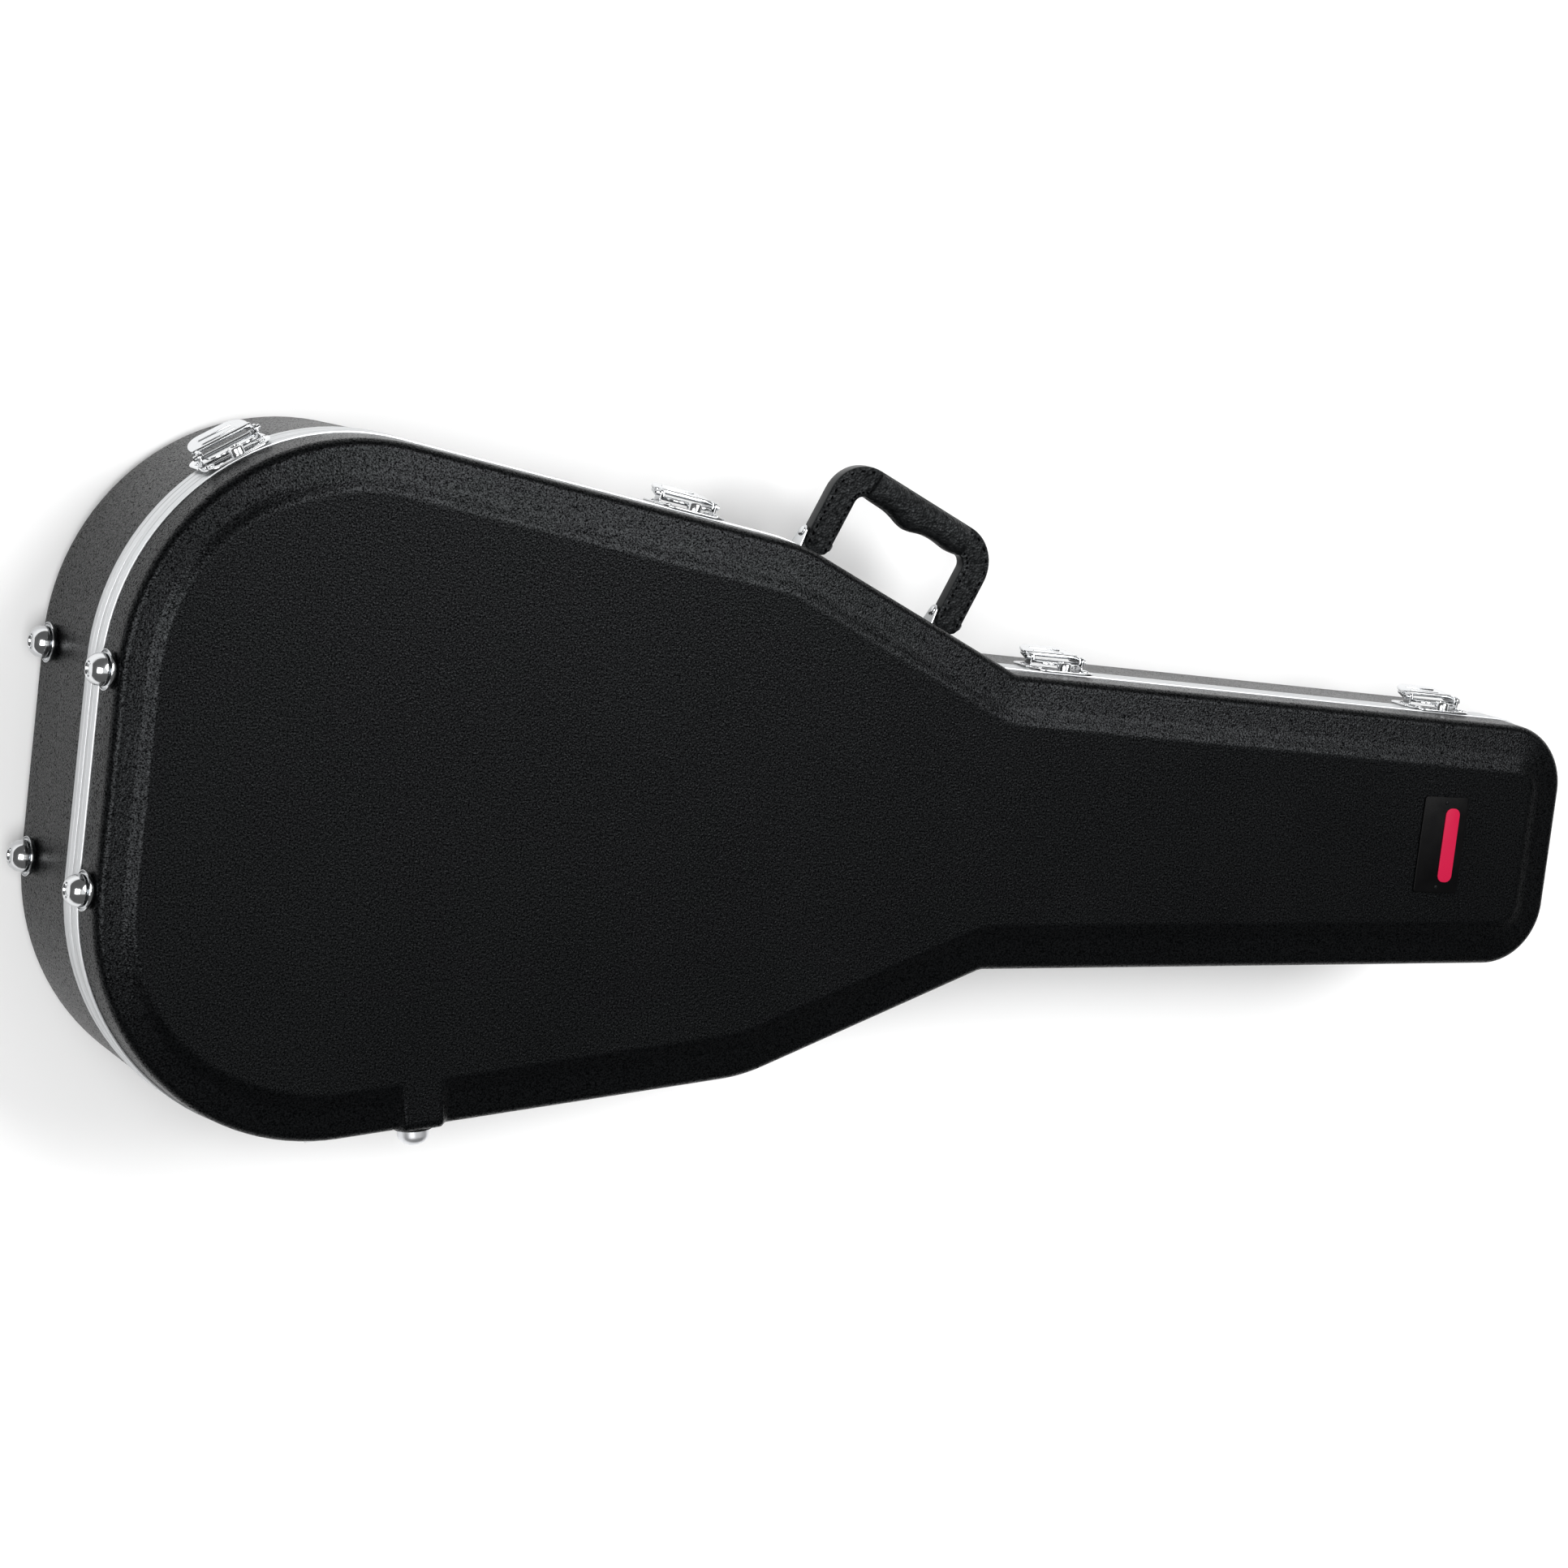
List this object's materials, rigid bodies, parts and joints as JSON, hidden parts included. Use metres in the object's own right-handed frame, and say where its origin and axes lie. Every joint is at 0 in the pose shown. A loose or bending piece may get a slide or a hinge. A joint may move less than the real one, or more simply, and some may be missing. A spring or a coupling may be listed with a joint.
{
  "type": "guitar case",
  "caption": "Moulded hard case for an acoustic guitar, with hinged lid, metal rims, draw latches, carry handle, feet, padded lining, neck rest and accessory box.",
  "frame": {"origin": "centre of the flat back that the case rests on, halfway between the butt end and the neck end", "axes": "+X towards the neck end, +Y towards the handle and latches (the hinges are on the -Y side), +Z out of the lid"},
  "size_m": [1.1325, 0.4696, 0.1709],
  "materials": {
    "moulded_shell": "matte",
    "rim_aluminium": "satin",
    "chrome_hardware": "polished",
    "plush_lining": "matte",
    "pull_ribbon": "satin",
    "handle_leather": "satin",
    "badge_black": "satin",
    "badge_red": "gloss"
  },
  "bodies": {
    "case_base": {"base_shell": "moulded_shell", "base_valance": "rim_aluminium", "base_floor_pad": "plush_lining", "base_body_pad_spine_side": "plush_lining", "base_neck_pad_spine_side": "plush_lining", "base_neck_pad_handle_side": "plush_lining", "base_body_pad_handle_side": "plush_lining", "compartment_box": "plush_lining", "neck_rest": "plush_lining", "hinge_1_base_leaf": "chrome_hardware", "hinge_1_pin": "chrome_hardware", "hinge_2_base_leaf": "chrome_hardware", "hinge_2_pin": "chrome_hardware", "hinge_3_base_leaf": "chrome_hardware", "hinge_3_pin": "chrome_hardware", "latch_bout_plate": "chrome_hardware", "latch_body_plate": "chrome_hardware", "latch_neck_plate": "chrome_hardware", "latch_head_plate": "chrome_hardware", "base_foot_handle_side": "chrome_hardware", "base_foot_spine_side": "chrome_hardware", "base_spine_foot": "chrome_hardware", "handle_bracket_butt": "chrome_hardware", "handle_bracket_neck": "chrome_hardware", "handle_rivet_butt": "chrome_hardware", "handle_rivet_neck": "chrome_hardware"},
    "lid": {"lid_shell": "moulded_shell", "lid_valance": "rim_aluminium", "lid_ceiling_pad": "plush_lining", "lid_body_pad_spine_side": "plush_lining", "lid_neck_pad_spine_side": "plush_lining", "lid_neck_pad_handle_side": "plush_lining", "lid_body_pad_handle_side": "plush_lining", "hinge_1_lid_leaf": "chrome_hardware", "hinge_2_lid_leaf": "chrome_hardware", "hinge_3_lid_leaf": "chrome_hardware", "latch_bout_keeper": "chrome_hardware", "latch_body_keeper": "chrome_hardware", "latch_neck_keeper": "chrome_hardware", "latch_head_keeper": "chrome_hardware", "lid_foot_handle_side": "chrome_hardware", "lid_foot_spine_side": "chrome_hardware", "lid_spine_foot": "chrome_hardware", "badge_plate": "badge_black", "badge_emblem": "badge_red"},
    "lever_bout": {"latch_bout_lever": "chrome_hardware"},
    "link_bout": {"latch_bout_link": "chrome_hardware"},
    "lever_body": {"latch_body_lever": "chrome_hardware"},
    "link_body": {"latch_body_link": "chrome_hardware"},
    "lever_neck": {"latch_neck_lever": "chrome_hardware"},
    "link_neck": {"latch_neck_link": "chrome_hardware"},
    "lever_head": {"latch_head_lever": "chrome_hardware"},
    "link_head": {"latch_head_link": "chrome_hardware"},
    "handle": {"handle_grip": "handle_leather"},
    "compartment_flap": {"compartment_flap": "plush_lining", "compartment_pull_tab": "pull_ribbon"}
  },
  "joints": [
    {"name": "lid_hinge", "type": "hinge", "parent": "case_base", "child": "lid", "pos_m": [-0.23914, -0.2118, 0.12], "axis": [0.9877, 0.1563, 0], "range_deg": [0, 100]},
    {"name": "latch_bout_lever_pivot", "type": "hinge", "parent": "case_base", "child": "lever_bout", "pos_m": [-0.48501, 0.21402, 0.116], "axis": [0.8616, 0.5075, 0], "range_deg": [0, 100]},
    {"name": "latch_bout_link_pivot", "type": "hinge", "parent": "lever_bout", "child": "link_bout", "pos_m": [-0.48374, 0.21186, 0.112], "axis": [0.8616, 0.5075, 0], "range_deg": [-100, 0]},
    {"name": "latch_body_lever_pivot", "type": "hinge", "parent": "case_base", "child": "lever_body", "pos_m": [-0.15683, 0.2008, 0.116], "axis": [0.9877, -0.1563, 0], "range_deg": [0, 100]},
    {"name": "latch_body_link_pivot", "type": "hinge", "parent": "lever_body", "child": "link_body", "pos_m": [-0.15722, 0.19833, 0.112], "axis": [0.9877, -0.1563, 0], "range_deg": [-100, 0]},
    {"name": "latch_neck_lever_pivot", "type": "hinge", "parent": "case_base", "child": "lever_neck", "pos_m": [0.14326, 0.1101, 0.116], "axis": [0.9994, -0.035, 0], "range_deg": [0, 100]},
    {"name": "latch_neck_link_pivot", "type": "hinge", "parent": "lever_neck", "child": "link_neck", "pos_m": [0.14317, 0.10761, 0.112], "axis": [0.9994, -0.035, 0], "range_deg": [-100, 0]},
    {"name": "latch_head_lever_pivot", "type": "hinge", "parent": "case_base", "child": "lever_head", "pos_m": [0.46626, 0.09879, 0.116], "axis": [0.9994, -0.035, 0], "range_deg": [0, 100]},
    {"name": "latch_head_link_pivot", "type": "hinge", "parent": "lever_head", "child": "link_head", "pos_m": [0.46618, 0.09629, 0.112], "axis": [0.9994, -0.035, 0], "range_deg": [-100, 0]},
    {"name": "handle_swing", "type": "hinge", "parent": "case_base", "child": "handle", "pos_m": [0.01019, 0.15471, 0.094], "axis": [0.9143, -0.4049, 0], "range_deg": [-85, 80]},
    {"name": "compartment_flap_hinge", "type": "hinge", "parent": "case_base", "child": "compartment_flap", "pos_m": [0.195, 0, 0.056], "axis": [0, 1, 0], "range_deg": [0, 88]}
  ],
  "couplings": [
    {"joint": "latch_bout_link_pivot", "follows": "latch_bout_lever_pivot", "ratio": -1},
    {"joint": "latch_body_link_pivot", "follows": "latch_body_lever_pivot", "ratio": -1},
    {"joint": "latch_neck_link_pivot", "follows": "latch_neck_lever_pivot", "ratio": -1},
    {"joint": "latch_head_link_pivot", "follows": "latch_head_lever_pivot", "ratio": -1}
  ]
}
